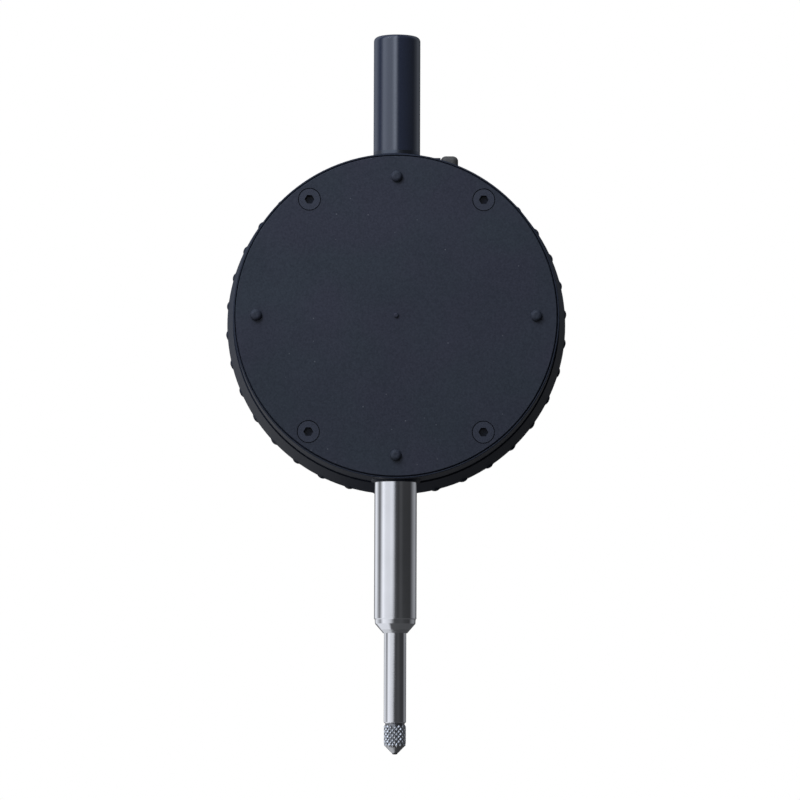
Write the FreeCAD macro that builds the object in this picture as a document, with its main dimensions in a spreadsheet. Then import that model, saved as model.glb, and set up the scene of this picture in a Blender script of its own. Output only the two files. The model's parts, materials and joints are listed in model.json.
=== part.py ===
import FreeCAD, Part
import math
import os
import Sketcher

# Digital indicator with an 8 mm clamping stem and 12.7 mm of spindle travel.
# Millimetres. +Z runs up the spindle, the display faces -Y and the plain back faces +Y.
# The origin is on the stem's axis, halfway along its clamping length.
# Heights called "up" are counted from the centre of the round case, and
# depths called "y" from the spindle's axis.

SIZES = {
    # Clamping stem, pressed into the case
    "stem_d": 8.0,
    "stem_bore_d": 5.4,
    "stem_grip": 25.7,
    "stem_root_step": 0.4,
    "stem_relief": 0.15,
    "stem_relief_taper": 0.05,
    "stem_relief_length": 0.95,
    "stem_nose_length": 1.1,
    "stem_nose_wall": 0.15,
    "stem_edge": 0.3,
    "bush_length": 8.75,
    "bush_lip": 0.65,
    "bush_lip_wall": 0.15,
    "press_gap": 0.01,
    # Spindle and contact point
    "spindle_d": 4.2,
    "spindle_reach": 76.3,
    "spindle_top_gap": 1.7,
    "spindle_fit": 0.03,
    "spindle_edge": 0.2,
    "travel": 12.7,
    "stud_d": 2.5,
    "stud_length": 3.5,
    "stud_fit": 0.02,
    "stud_end_gap": 0.1,
    "point_neck": 0.3,
    "point_neck_depth": 0.2,
    "point_body": 3.75,
    "point_cone": 1.5,
    "point_end_wall": 0.085,
    "tip_d": 1.08,
    "tip_length": 1.7,
    "tip_proud": 0.3,
    # Round case
    "case_r": 30.8,
    "case_draft": 0.15,
    "case_wall": 3.4,
    "rim_wall": 0.28,
    "rim_chamfer": 0.1,
    "land_proud": 0.2,
    "land_wall": 0.6,
    "boss_width": 12.6,
    "boss_depth": 7.4,
    "upper_seat_depth": 1.0,
    "wall_bite": 0.1,
    "cover_gap": 1.1,
    "read_gap": 0.4,
    "bulkhead_thick": 1.5,
    "bulkhead_hole_d": 16.0,
    "shoulder_step": 0.7,
    "spigot_inset": 1.9,
    "spigot_wall": 1.7,
    "spigot_length": 3.9,
    # Back cover and its screws
    "seam_gap": 0.15,
    "cover_thick": 1.8,
    "cover_chamfer": 0.15,
    "dome_d": 2.2,
    "dome_proud": 0.78,
    "dome_round": 0.68,
    "dome_inset": 3.92,
    "dot_d": 0.95,
    "dot_proud": 0.35,
    "dot_edge": 0.2,
    "screw_inset": 2.86,
    "screw_angle": 53.2,
    "screw_head_d": 4.0,
    "screw_head_thick": 1.1,
    "screw_recess": 0.05,
    "screw_d": 2.0,
    "screw_length": 6.0,
    "socket_across": 1.6,
    "socket_depth": 0.8,
    "counterbore_d": 4.3,
    "screw_fit": 0.03,
    "cover_hole_fit": 0.06,
    "hole_end_gap": 0.2,
    "screw_boss_d": 5.8,
    "seal_inset": 1.6,
    "seal_width": 0.8,
    "seal_thick": 0.6,
    "seal_play": 0.02,
    # Cap and upper bush
    "cap_d": 8.85,
    "cap_height": 22.1,
    "cap_round": 0.9,
    "cap_roof": 1.2,
    "cap_bore_d": 5.5,
    "washer_thick": 0.65,
    "bush_d": 7.2,
    "nose_d": 6.4,
    "nose_height": 5.5,
    "cap_thread_run": 0.5,
    # Carrier, guide and spring round the spindle
    "buffer_thick": 2.0,
    "buffer_step": 0.1,
    "rest_gap": 0.3,
    "carrier_height": 6.0,
    "carrier_half_width": 4.4,
    "carrier_half_depth": 3.6,
    "arm_length": 3.4,
    "arm_half_depth": 1.6,
    "grub_gap": 0.05,
    "grub_recess": 0.1,
    "guide_pin_d": 1.6,
    "guide_pin_proud": 2.6,
    "guide_pin_depth": 3.0,
    "guide_pin_fit": 0.02,
    "guide_pin_gap": 0.05,
    "guide_fit": 0.06,
    "rail_gap": 0.5,
    "rail_width": 3.3,
    "rail_cover": 1.6,
    "rail_margin": 2.6,
    "slot_run": 1.0,
    "slot_end_gap": 0.3,
    "foot_width": 4.0,
    "foot_thick": 1.4,
    "spring_gap": 0.575,
    "spring_wire_d": 0.45,
    "spring_turns": 11.0,
    "spring_seat_gap": 0.04,
    # Scale and reader
    "scale_half_width": 3.2,
    "scale_thick": 0.7,
    "scale_length": 25.0,
    "reader_thick": 1.0,
    "reader_gap": 0.4,
    "reader_right_x": 14.5,
    "reader_low": -15.0,
    "reader_high": 15.8,
    "small_screw_d": 1.6,
    "small_head_d": 2.8,
    "small_head_thick": 0.9,
    "small_screw_edge": 1.75,
    "chip_side": 6.0,
    "chip_thick": 1.2,
    "chip_gap": 1.0,
    # Data port in the case wall
    "port_angle": 18.9,
    "port_boss_width": 4.4,
    "port_boss_rise": 1.3,
    "port_back_gap": 1.5,
    "port_front_gap": 0.2,
    "plug_half_width": 1.65,
    "plug_margin": 1.4,
    "plug_proud": 0.45,
    "plug_round": 0.95,
    "plug_corner": 1.05,
    "plug_depth": 2.7,
    "plug_fit": 0.05,
    "socket_depth_up": 5.4,
    "socket_gap": 0.02,
    # Turning bezel
    "bezel_proud": 1.88,
    "bezel_rear_proud": 0.3,
    "bezel_front_taper": 1.88,
    "bezel_edge": 0.4,
    "bezel_gap": 0.2,
    "bezel_fit": 0.08,
    "bezel_crest": 2.8,
    "bezel_front_slope": 3.1,
    "bezel_lip": 0.6,
    "ridge_count": 36,
    "ridge_proud": 0.27,
    "ridge_r": 1.3,
    "ridge_run_out": 0.9,
    "ridge_end_taper": 0.6,
    "ridge_start": 6.25,
    "ring_end_gap": 1.35,
    "ring_thick": 0.5,
    "ring_proud": 0.6,
    "ring_groove_depth": 0.7,
    "ring_gap": 0.1,
    "ring_opening": 12.0,
    "friction_gap_y": 0.5,
    "friction_width": 0.8,
    "friction_depth": 0.6,
    "friction_gap": 0.05,
    "head_turn": 135.0,
    "stop_margin": 3.0,
    "stop_half_width": 1.0,
    "stop_height": 0.8,
    "stop_gap": 0.2,
    "stop_wall": 1.5,
    "stop_inset": 0.1,
    "stop_root": 0.2,
    # Face plate, window and display
    "face_thick": 1.5,
    "face_lip": 1.2,
    "face_fit": 0.05,
    "window_inset": 1.4,
    "window_angle": 46.0,
    "window_gap": 1.5,
    "window_thick": 0.9,
    "window_fit": 0.1,
    "view_margin_x": 2.0,
    "view_margin_up": 1.7,
    "frame_wall": 0.9,
    "frame_overlap_x": 0.2,
    "frame_overlap_up": 0.5,
    "lcd_fit": 0.1,
    "lcd_thick": 1.8,
    "strip_height": 2.0,
    "strip_end_gap": 2.8,
    # Main board
    "board_gap": 0.98,
    "board_thick": 1.2,
    "board_clearance": 0.3,
    "post_d": 4.0,
    "post_inset": 3.1,
    "post_upper_angle": 18.7,
    "post_lower_angle": -35.0,
    "post_screw_length": 4.0,
    "display_chip_half_width": 4.5,
    "display_chip_height": 8.0,
    "display_chip_rise": 3.5,
    "display_chip_thick": 1.0,
    # Buttons
    "button_d": 5.6,
    "button_proud": 0.8,
    "button_edge": 0.4,
    "button_fit": 0.1,
    "button_spacing": 13.0,
    "button_gap_up": 2.9,
    "button_flange": 0.5,
    "button_flange_thick": 0.7,
    "button_stem_d": 2.6,
    "button_travel": 0.35,
    "button_gap": 0.1,
    "switch_side": 4.6,
    "switch_thick": 1.7,
    "plunger_d": 2.2,
    "plunger_proud": 0.4,
    # Battery and its lid
    "battery_d": 20.0,
    "battery_thick": 3.2,
    "battery_play": 0.05,
    "lid_rim_gap": 1.4,
    "battery_edge": 0.3,
    "contact_thick": 0.45,
    "contact_half_width": 2.5,
    "contact_half_length": 6.5,
    "holder_gap": 0.15,
    "holder_wall": 0.85,
    "lid_wall": 0.6,
    "lid_fit": 0.1,
    "lid_edge": 0.3,
    "lid_step": 0.6,
    "lid_tail": 0.5,
    "lug_d": 2.4,
    "lug_inset": 0.5,
    "lid_turn": 45.0,
    "lug_gap": 0.1,
    "lug_side_gap": 0.15,
    "coin_half_length": 6.0,
    "coin_half_width": 0.9,
    "coin_depth": 0.7,
    "lid_seal_depth": 0.5,
    "lid_seal_width": 0.5,
    "lid_seal_y": 0.6,
    "lid_seal_proud": 0.04,
}


class Size:
    """A number together with the formula over the sheet's cells that gives it."""

    def __init__(self, value, formula):
        self.value = value
        self.formula = formula

    def __add__(self, other):
        other = as_size(other)
        return Size(self.value + other.value, f"({self.formula} + {other.formula})")

    def __sub__(self, other):
        other = as_size(other)
        return Size(self.value - other.value, f"({self.formula} - {other.formula})")

    def __mul__(self, other):
        other = as_size(other)
        return Size(self.value * other.value, f"({self.formula} * {other.formula})")

    def __truediv__(self, other):
        other = as_size(other)
        return Size(self.value / other.value, f"({self.formula} / {other.formula})")

    def __neg__(self):
        return Size(-self.value, f"(0 - {self.formula})")

    def __radd__(self, other):
        return as_size(other) + self

    def __rsub__(self, other):
        return as_size(other) - self

    def __rmul__(self, other):
        return as_size(other) * self


def as_size(item):
    """A Size as it is, or a plain number as a Size."""
    if isinstance(item, Size):
        return item
    return Size(float(item), f"({item})")


def cosine(angle):
    """Cosine of an angle in degrees."""
    angle = as_size(angle)
    return Size(math.cos(math.radians(angle.value)), f"cos({angle.formula} * 1deg)")


def sine(angle):
    """Sine of an angle in degrees."""
    angle = as_size(angle)
    return Size(math.sin(math.radians(angle.value)), f"sin({angle.formula} * 1deg)")


doc = FreeCAD.newDocument("indicator")


class Dimensions:
    """The sheet of driving dimensions, read by name."""

    def __init__(self, sizes):
        self.sheet = doc.addObject("Spreadsheet::Sheet", "dims")
        for row, (name, value) in enumerate(sizes.items(), start=1):
            self.sheet.set(f"A{row}", str(value))
            self.sheet.setAlias(f"A{row}", name)
            setattr(self, name, Size(float(value), f"dims.{name}"))


d = Dimensions(SIZES)
doc.recompute()

# Places that several pieces share
LAND_UP = d.case_r + d.land_proud
CENTRE_UP = LAND_UP + d.stem_grip / 2
STEM_R = d.stem_d / 2
STEM_ROOT_R = STEM_R - d.stem_root_step
SPINDLE_R = d.spindle_d / 2
RUNNING_R = SPINDLE_R + d.spindle_fit
CASE_BORE_R = d.case_r - d.case_wall
BOSS_INNER_UP = CASE_BORE_R - d.boss_depth
STEM_TOP = -BOSS_INNER_UP
STEM_SHOULDER = -(LAND_UP + d.stem_grip)
STEM_END = STEM_SHOULDER - d.stem_relief_length - d.stem_nose_length
UPPER_SEAT = BOSS_INNER_UP + d.upper_seat_depth
CAP_LOW = LAND_UP + d.washer_thick
CAP_TOP = CAP_LOW + d.cap_height
CAP_ROOF = CAP_TOP - d.cap_roof
SPINDLE_TOP = CAP_ROOF - d.travel - d.spindle_top_gap
RIM_R = d.case_r - d.case_draft
REBATE_R = RIM_R - d.rim_wall
COVER_R = REBATE_R - d.seam_gap
COVER_SEAT_Y = d.carrier_half_depth + d.cover_gap
BACK_Y = COVER_SEAT_Y + d.cover_thick
SEAL_R = CASE_BORE_R + d.seal_inset
SCALE_Y = -(d.carrier_half_depth + d.scale_thick)
READER_Y = SCALE_Y - d.read_gap
BULKHEAD_Y = READER_Y - d.reader_thick
BULKHEAD_FRONT_Y = BULKHEAD_Y - d.bulkhead_thick
SHOULDER_Y = BULKHEAD_Y + d.shoulder_step
SPIGOT_R = d.case_r - d.spigot_inset
SPIGOT_BORE_R = SPIGOT_R - d.spigot_wall
SPIGOT_END_Y = SHOULDER_Y - d.spigot_length
CARRIER_LOW = STEM_TOP + d.buffer_thick + d.rest_gap
CARRIER_HIGH = CARRIER_LOW + d.carrier_height
CARRIER_MIDDLE = CARRIER_LOW + d.carrier_height / 2
ARM_REACH = d.carrier_half_width + d.arm_length
PIN_REACH = ARM_REACH + d.guide_pin_proud
GUIDE_R = d.guide_pin_d / 2
SMALL_R = d.small_screw_d / 2
SMALL_HOLE_R = SMALL_R + d.screw_fit
RAIL_LOW = CARRIER_MIDDLE - GUIDE_R - d.rail_margin
RAIL_HIGH = CARRIER_MIDDLE + d.travel + GUIDE_R + d.rail_margin
RAIL_FACE_X = -(ARM_REACH + d.rail_gap)
RAIL_BACK_X = RAIL_FACE_X - d.rail_width
READER_LEFT_X = -(ARM_REACH - d.reader_gap)
PORT_X = -d.case_r * sine(d.port_angle)
PORT_TOP = d.case_r * cosine(d.port_angle) + d.port_boss_rise
PORT_BACK_Y = COVER_SEAT_Y - d.port_back_gap
PORT_FRONT_Y = SHOULDER_Y + d.port_front_gap
PLUG_TOP = PORT_TOP + d.plug_proud
PLUG_SEAT = PORT_TOP - d.plug_depth
PLUG_BACK_Y = PORT_BACK_Y - d.plug_margin
PLUG_FRONT_Y = PORT_FRONT_Y + d.plug_margin
SOCKET_LOW = PORT_TOP - d.socket_depth_up
BEZEL_BORE_R = SPIGOT_R + d.bezel_fit
BEZEL_REAR_Y = SHOULDER_Y - d.bezel_gap
BEZEL_REAR_R = d.case_r + d.bezel_rear_proud
CREST_R = d.case_r + d.bezel_proud
BEZEL_R = CREST_R - d.ridge_proud
BEZEL_FRONT_R = CREST_R - d.bezel_front_taper
RING_BACK_Y = SPIGOT_END_Y + d.ring_end_gap
RING_OUTER_R = SPIGOT_R + d.ring_proud
FRICTION_BACK_Y = SHOULDER_Y - d.friction_gap_y
BOARD_R = BEZEL_BORE_R - d.board_gap
BOARD_BACK_Y = SPIGOT_END_Y - d.stop_height - d.board_clearance
BOARD_FRONT_Y = BOARD_BACK_Y - d.board_thick
BATTERY_BACK_Y = BOARD_FRONT_Y - d.contact_thick
BATTERY_FRONT_Y = BATTERY_BACK_Y - d.battery_thick
LID_TAIL_Y = BATTERY_FRONT_Y - d.battery_play
FACE_BACK_Y = LID_TAIL_Y - d.lid_tail - d.lug_gap
FACE_Y = FACE_BACK_Y - d.face_thick
BEZEL_FRONT_Y = FACE_Y - d.bezel_lip
CREST_FRONT_Y = BEZEL_FRONT_Y + d.bezel_front_slope
CREST_BACK_Y = CREST_FRONT_Y + d.bezel_crest
FACE_RIM_R = BEZEL_FRONT_R - d.face_lip
LID_R = d.battery_d / 2 + d.lid_wall
LUG_RING_R = LID_R - d.lug_inset
BATTERY_UP = LID_R + d.lid_rim_gap - FACE_RIM_R
BUTTON_R = d.button_d / 2
FLANGE_R = BUTTON_R + d.button_flange
BUTTON_UP = BATTERY_UP + LID_R + d.button_gap_up + FLANGE_R
WINDOW_HALF_WIDTH = (FACE_RIM_R - d.window_inset) * cosine(d.window_angle)
WINDOW_HIGH = (FACE_RIM_R - d.window_inset) * sine(d.window_angle)
WINDOW_LOW = BUTTON_UP + BUTTON_R + d.window_gap
FRAME_HALF_WIDTH = WINDOW_HALF_WIDTH + d.frame_overlap_x
FRAME_LOW = WINDOW_LOW - d.frame_overlap_up
FRAME_HIGH = WINDOW_HIGH + d.frame_overlap_up


def bind(obj, prop, size):
    """Tie a property to the sheet."""
    obj.setExpression(prop, as_size(size).formula)


class Circle:
    """A circle in a sketch, by its centre and radius."""

    def __init__(self, across, up, radius):
        self.centre = (as_size(across), as_size(up))
        self.radius = as_size(radius)

    def draw(self, sketch):
        middle = FreeCAD.Vector(self.centre[0].value, self.centre[1].value, 0)
        normal = FreeCAD.Vector(0, 0, 1)
        index = sketch.addGeometry(Part.Circle(middle, normal, self.radius.value), False)
        tie(sketch, "DistanceX", (-1, 1, index, 3), self.centre[0])
        tie(sketch, "DistanceY", (-1, 1, index, 3), self.centre[1])
        tie(sketch, "Radius", (index,), self.radius)


class Outline:
    """A closed outline of straight edges in a sketch, by its corners."""

    def __init__(self, corners):
        self.corners = [(as_size(a), as_size(b)) for a, b in corners]

    def draw(self, sketch):
        places = [FreeCAD.Vector(a.value, b.value, 0) for a, b in self.corners]
        edges = []
        for start, end in zip(places, places[1:] + places[:1]):
            edges.append(sketch.addGeometry(Part.LineSegment(start, end), False))
        for edge, after in zip(edges, edges[1:] + edges[:1]):
            sketch.addConstraint(Sketcher.Constraint("Coincident", edge, 2, after, 1))
        for edge, (across, up) in zip(edges, self.corners):
            tie(sketch, "DistanceX", (-1, 1, edge, 1), across)
            tie(sketch, "DistanceY", (-1, 1, edge, 1), up)


def tie(sketch, kind, points, size):
    """Add a dimension to a sketch and bind it to the sheet."""
    index = sketch.addConstraint(Sketcher.Constraint(kind, *points, size.value))
    sketch.setExpression(f"Constraints[{index}]", size.formula)


def rectangle(low_across, low_up, high_across, high_up):
    """The outline of a rectangle between two corners."""
    return Outline([
        (low_across, low_up),
        (high_across, low_up),
        (high_across, high_up),
        (low_across, high_up),
    ])


def hexagon(across, up, flats):
    """The outline of a hexagon, by its centre and its width across flats."""
    radius = as_size(flats) / (2 * cosine(30))
    corners = []
    for step in range(6):
        angle = 60 * step
        corners.append((across + radius * cosine(angle), up + radius * sine(angle)))
    return Outline(corners)


PLANES = {"x": "YZ_Plane", "y": "XZ_Plane", "z": "XY_Plane"}


class Piece:
    """One sub-part, its features tied to the sheet and its place given from the case's centre."""

    def __init__(self, label, across=0, up=0):
        self.body = doc.addObject("PartDesign::Body", label)
        self.body.Label = label
        self.body.AllowCompound = True
        bind(self.body, "Placement.Base.x", across)
        bind(self.body, "Placement.Base.z", CENTRE_UP + up)

    def plane(self, axis):
        """The body's own origin plane across an axis."""
        role = PLANES[axis]
        return [item for item in self.body.Origin.OriginFeatures if item.Role == role][0]

    def sketch(self, axis, height, loops):
        """A sketch across an axis, at a height along the plane's normal."""
        sketch = self.body.newObject("Sketcher::SketchObject", "sketch")
        sketch.AttachmentSupport = [(self.plane(axis), "")]
        sketch.MapMode = "FlatFace"
        bind(sketch, "AttachmentOffset.Base.z", height)
        for loop in loops:
            loop.draw(sketch)
        doc.recompute()
        return sketch

    def add(self, axis, low, high, loops):
        """Add material between two heights along an axis."""
        low = as_size(low)
        high = as_size(high)
        height = -high if axis == "y" else low
        pad = self.body.newObject("PartDesign::Pad", "pad")
        pad.Profile = self.sketch(axis, height, loops)
        bind(pad, "Length", high - low)
        doc.recompute()
        return pad

    def cut(self, axis, low, high, loops):
        """Take material away between two heights along an axis."""
        low = as_size(low)
        high = as_size(high)
        before = self.body.Shape.Volume
        height = -low if axis == "y" else high
        pocket = self.body.newObject("PartDesign::Pocket", "pocket")
        pocket.Profile = self.sketch(axis, height, loops)
        bind(pocket, "Length", high - low)
        doc.recompute()
        if not self.body.Shape.Volume < before:
            raise RuntimeError(f"{self.body.Label}: a pocket cuts nothing")
        return pocket

    def turn(self, axis, corners, angle=360, across=0, height=0):
        """Turn a half profile of (radius, height) corners about the axis y or z, or one beside it."""
        revolution = self.body.newObject("PartDesign::Revolution", "revolution")
        side = "z" if axis == "y" else "y"
        profile = self.sketch(side, height, [Outline(corners)])
        bind(profile, "AttachmentOffset.Base.x", across)
        revolution.Profile = profile
        revolution.ReferenceAxis = (profile, ["V_Axis"])
        bind(revolution, "Angle", angle)
        doc.recompute()
        return revolution

    def repeat(self, feature, axis_role, count):
        """Repeat a feature in a full circle."""
        axes = [item for item in self.body.Origin.OriginFeatures if item.Role == axis_role]
        pattern = self.body.newObject("PartDesign::PolarPattern", "pattern")
        pattern.Originals = [feature]
        pattern.Axis = (axes[0], [""])
        pattern.Angle = 360
        bind(pattern, "Occurrences", count)
        self.body.Tip = pattern
        doc.recompute()
        return pattern

    def round_edges(self, radius, wanted):
        """Round the edges that a test picks."""
        base = self.body.Tip
        names = [f"Edge{number}" for number, edge in enumerate(base.Shape.Edges, start=1) if wanted(edge)]
        if not names:
            raise RuntimeError(f"{self.body.Label}: no edge to round")
        fillet = self.body.newObject("PartDesign::Fillet", "round")
        fillet.Base = (base, names)
        bind(fillet, "Radius", radius)
        self.body.Tip = fillet
        doc.recompute()
        return fillet


def circle_at(edge, radius, axis, height):
    """Whether an edge is a circle of a radius, lying at a height along an axis."""
    if not isinstance(edge.Curve, Part.Circle):
        return False
    middle = getattr(edge.Curve.Center, axis)
    near = 0.001
    return abs(edge.Curve.Radius - radius.value) < near and abs(middle - height.value) < near


def upright_corner(edge):
    """Whether an edge is a straight one along the layers' own z."""
    if not isinstance(edge.Curve, Part.Line):
        return False
    along = edge.tangentAt(edge.FirstParameter)
    return abs(along.z) > 0.999


def at_level(edge, level):
    """Whether all of an edge lies at a height along z."""
    box = edge.BoundBox
    near = 0.001
    return abs(box.ZMin - level.value) < near and abs(box.ZMax - level.value) < near


SIDES = ((-1, -1), (1, -1), (1, 1), (-1, 1))
SCREW_X = (COVER_R - d.screw_inset) * cosine(d.screw_angle)
SCREW_UP = (COVER_R - d.screw_inset) * sine(d.screw_angle)
COVER_SCREWS = [(a * SCREW_X, b * SCREW_UP) for a, b in SIDES]
RAIL_SCREWS = [
    (RAIL_BACK_X - d.foot_width / 2, RAIL_LOW + d.rail_margin),
    (RAIL_BACK_X - d.foot_width / 2, RAIL_HIGH - d.rail_margin),
]
READER_SCREWS = [
    (READER_LEFT_X + d.small_screw_edge, d.reader_low + d.small_screw_edge),
    (d.reader_right_x - d.small_screw_edge, d.reader_low + d.small_screw_edge),
    (d.reader_right_x - d.small_screw_edge, d.reader_high - d.small_screw_edge),
    (READER_LEFT_X + d.small_screw_edge, d.reader_high - d.small_screw_edge),
]
POST_RING_R = BOARD_R - d.post_inset
POSTS = [
    (side * POST_RING_R * cosine(angle), POST_RING_R * sine(angle))
    for side in (-1, 1)
    for angle in (d.post_upper_angle, d.post_lower_angle)
]
BUTTONS = {
    "button_left": -d.button_spacing,
    "button_middle": as_size(0),
    "button_right": d.button_spacing,
}


def circles(places, radius):
    """One circle of a radius at each place."""
    return [Circle(across, up, radius) for across, up in places]


def build_case():
    """Round housing with its bulkhead, spigot, bosses and the block of the data port."""
    case = Piece("case")
    friction_front = FRICTION_BACK_Y - d.friction_width
    groove_back = RING_BACK_Y + d.ring_gap / 2
    groove_front = RING_BACK_Y - d.ring_thick - d.ring_gap / 2
    friction_r = SPIGOT_R - d.friction_depth
    ring_r = SPIGOT_R - d.ring_groove_depth
    hole_r = d.bulkhead_hole_d / 2
    case.turn("y", [
        (hole_r, BULKHEAD_Y),
        (CASE_BORE_R, BULKHEAD_Y),
        (CASE_BORE_R, COVER_SEAT_Y),
        (REBATE_R, COVER_SEAT_Y),
        (REBATE_R, BACK_Y),
        (RIM_R - d.rim_chamfer, BACK_Y),
        (RIM_R, BACK_Y - d.rim_chamfer),
        (d.case_r, SHOULDER_Y),
        (SPIGOT_R, SHOULDER_Y),
        (SPIGOT_R, FRICTION_BACK_Y),
        (friction_r, FRICTION_BACK_Y),
        (friction_r, friction_front),
        (SPIGOT_R, friction_front),
        (SPIGOT_R, groove_back),
        (ring_r, groove_back),
        (ring_r, groove_front),
        (SPIGOT_R, groove_front),
        (SPIGOT_R, SPIGOT_END_Y),
        (SPIGOT_BORE_R, SPIGOT_END_Y),
        (SPIGOT_BORE_R, BULKHEAD_FRONT_Y),
        (hole_r, BULKHEAD_FRONT_Y),
    ])
    half = d.boss_width / 2
    inside_wall = CASE_BORE_R + d.wall_bite
    case.add("y", BULKHEAD_Y, COVER_SEAT_Y, [rectangle(-half, -inside_wall, half, STEM_TOP)])
    case.add("y", BULKHEAD_Y, COVER_SEAT_Y, [rectangle(-half, UPPER_SEAT, half, inside_wall)])
    case.add("y", SHOULDER_Y, COVER_SEAT_Y, circles(COVER_SCREWS, d.screw_boss_d / 2))
    land = [Circle(0, 0, STEM_R + d.land_wall)]
    case.add("z", -LAND_UP, -CASE_BORE_R, land)
    case.add("z", CASE_BORE_R, LAND_UP, land)
    case.add("y", PORT_FRONT_Y, PLUG_BACK_Y, [
        rectangle(PORT_X, SOCKET_LOW + d.wall_bite, PORT_X + d.port_boss_width, PORT_TOP),
    ])
    case.add("y", SPIGOT_END_Y - d.stop_height, SPIGOT_END_Y, [
        rectangle(
            -d.stop_half_width,
            -(SPIGOT_R - d.stop_inset),
            d.stop_half_width,
            -(SPIGOT_R - d.stop_wall),
        ),
    ])
    case.cut("z", -LAND_UP, STEM_TOP, [Circle(0, 0, STEM_ROOT_R)])
    case.cut("z", UPPER_SEAT, LAND_UP, [Circle(0, 0, d.bush_d / 2)])
    screw_end = COVER_SEAT_Y - d.screw_length
    case.cut("y", screw_end, COVER_SEAT_Y, circles(COVER_SCREWS, d.screw_d / 2 + d.screw_fit))
    case.cut("y", COVER_SEAT_Y - d.seal_thick, COVER_SEAT_Y, [
        Circle(0, 0, SEAL_R + d.seal_width / 2),
        Circle(0, 0, SEAL_R - d.seal_width / 2),
    ])
    hole = d.plug_half_width + d.plug_fit
    case.cut("y", PLUG_FRONT_Y - d.plug_fit, PLUG_BACK_Y + d.plug_fit, [
        rectangle(PORT_X - hole, SOCKET_LOW, PORT_X + hole, PLUG_TOP),
    ])
    case.cut("y", BULKHEAD_FRONT_Y, BULKHEAD_Y, circles(RAIL_SCREWS + READER_SCREWS, SMALL_HOLE_R))


def build_back_cover():
    """Flat cover with four domes, a centre dot and four counterbored screw holes."""
    cover = Piece("back_cover")
    dot_r = d.dot_d / 2
    dot_top = BACK_Y + d.dot_proud
    cover.turn("y", [
        (0, COVER_SEAT_Y),
        (COVER_R, COVER_SEAT_Y),
        (COVER_R, BACK_Y - d.cover_chamfer),
        (COVER_R - d.cover_chamfer, BACK_Y),
        (dot_r, BACK_Y),
        (dot_r, dot_top - d.dot_edge),
        (dot_r - d.dot_edge, dot_top),
        (0, dot_top),
    ])
    ring = COVER_R - d.dome_inset
    places = [(0, ring), (0, -ring), (ring, 0), (-ring, 0)]
    dome_top = BACK_Y + d.dome_proud
    cover.add("y", BACK_Y, dome_top, circles(places, d.dome_d / 2))
    cover.round_edges(
        d.dome_round,
        lambda edge: circle_at(edge, d.dome_d / 2, "y", dome_top),
    )
    head_y = BACK_Y - d.screw_head_thick
    cover.cut("y", head_y, BACK_Y, circles(COVER_SCREWS, d.counterbore_d / 2))
    cover.cut("y", COVER_SEAT_Y, head_y, circles(COVER_SCREWS, d.screw_d / 2 + d.cover_hole_fit))


def build_back_cover_screws():
    """Four socket head screws that lie flush in the cover."""
    screws = Piece("back_cover_screws")
    head_y = BACK_Y - d.screw_head_thick
    screws.add("y", head_y, BACK_Y - d.screw_recess, circles(COVER_SCREWS, d.screw_head_d / 2))
    screw_end = COVER_SEAT_Y - d.screw_length
    screws.add("y", screw_end + d.hole_end_gap, head_y, circles(COVER_SCREWS, d.screw_d / 2))
    sockets = [hexagon(across, up, d.socket_across) for across, up in COVER_SCREWS]
    screws.cut("y", BACK_Y - d.socket_depth, BACK_Y, sockets)


def build_seals():
    """Seal of the back cover, friction ring and split retaining ring of the head."""
    play = d.seal_play
    seal = Piece("cover_seal")
    seal.add("y", COVER_SEAT_Y - d.seal_thick + play, COVER_SEAT_Y, [
        Circle(0, 0, SEAL_R + d.seal_width / 2 - play),
        Circle(0, 0, SEAL_R - d.seal_width / 2 + play),
    ])
    friction = Piece("friction_ring")
    inner_r = SPIGOT_R - d.friction_depth
    outer_r = BEZEL_BORE_R - d.friction_gap
    back = FRICTION_BACK_Y - play
    front = FRICTION_BACK_Y - d.friction_width + play
    friction.turn("y", [(inner_r, front), (outer_r, front), (outer_r, back), (inner_r, back)])
    ring = Piece("retaining_ring")
    ring_r = SPIGOT_R - d.ring_groove_depth + play
    ring_front = RING_BACK_Y - d.ring_thick
    ring.turn("y", [
        (ring_r, ring_front),
        (RING_OUTER_R, ring_front),
        (RING_OUTER_R, RING_BACK_Y),
        (ring_r, RING_BACK_Y),
    ], 360 - d.ring_opening)


def build_stem():
    """Clamping stem with a root in the case and a relieved end, and the bush that closes it."""
    stem = Piece("stem")
    bore_r = d.stem_bore_d / 2
    nose_r = bore_r + d.stem_nose_wall
    relief_r = STEM_R - d.stem_relief
    stem.turn("z", [
        (bore_r, STEM_TOP),
        (STEM_ROOT_R - d.stem_edge, STEM_TOP),
        (STEM_ROOT_R, STEM_TOP - d.stem_edge),
        (STEM_ROOT_R, -LAND_UP),
        (STEM_R, -LAND_UP),
        (STEM_R, STEM_SHOULDER),
        (relief_r, STEM_SHOULDER - d.stem_relief),
        (relief_r - d.stem_relief_taper, STEM_SHOULDER - d.stem_relief_length),
        (nose_r, STEM_END),
        (bore_r, STEM_END),
    ])
    bush = Piece("lower_bush")
    bush_r = bore_r - d.press_gap
    bush.turn("z", [
        (RUNNING_R, STEM_END + d.bush_length),
        (bush_r, STEM_END + d.bush_length),
        (bush_r, STEM_END),
        (nose_r, STEM_END),
        (RUNNING_R + d.bush_lip_wall, STEM_END - d.bush_lip),
        (RUNNING_R, STEM_END - d.bush_lip),
    ])


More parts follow.
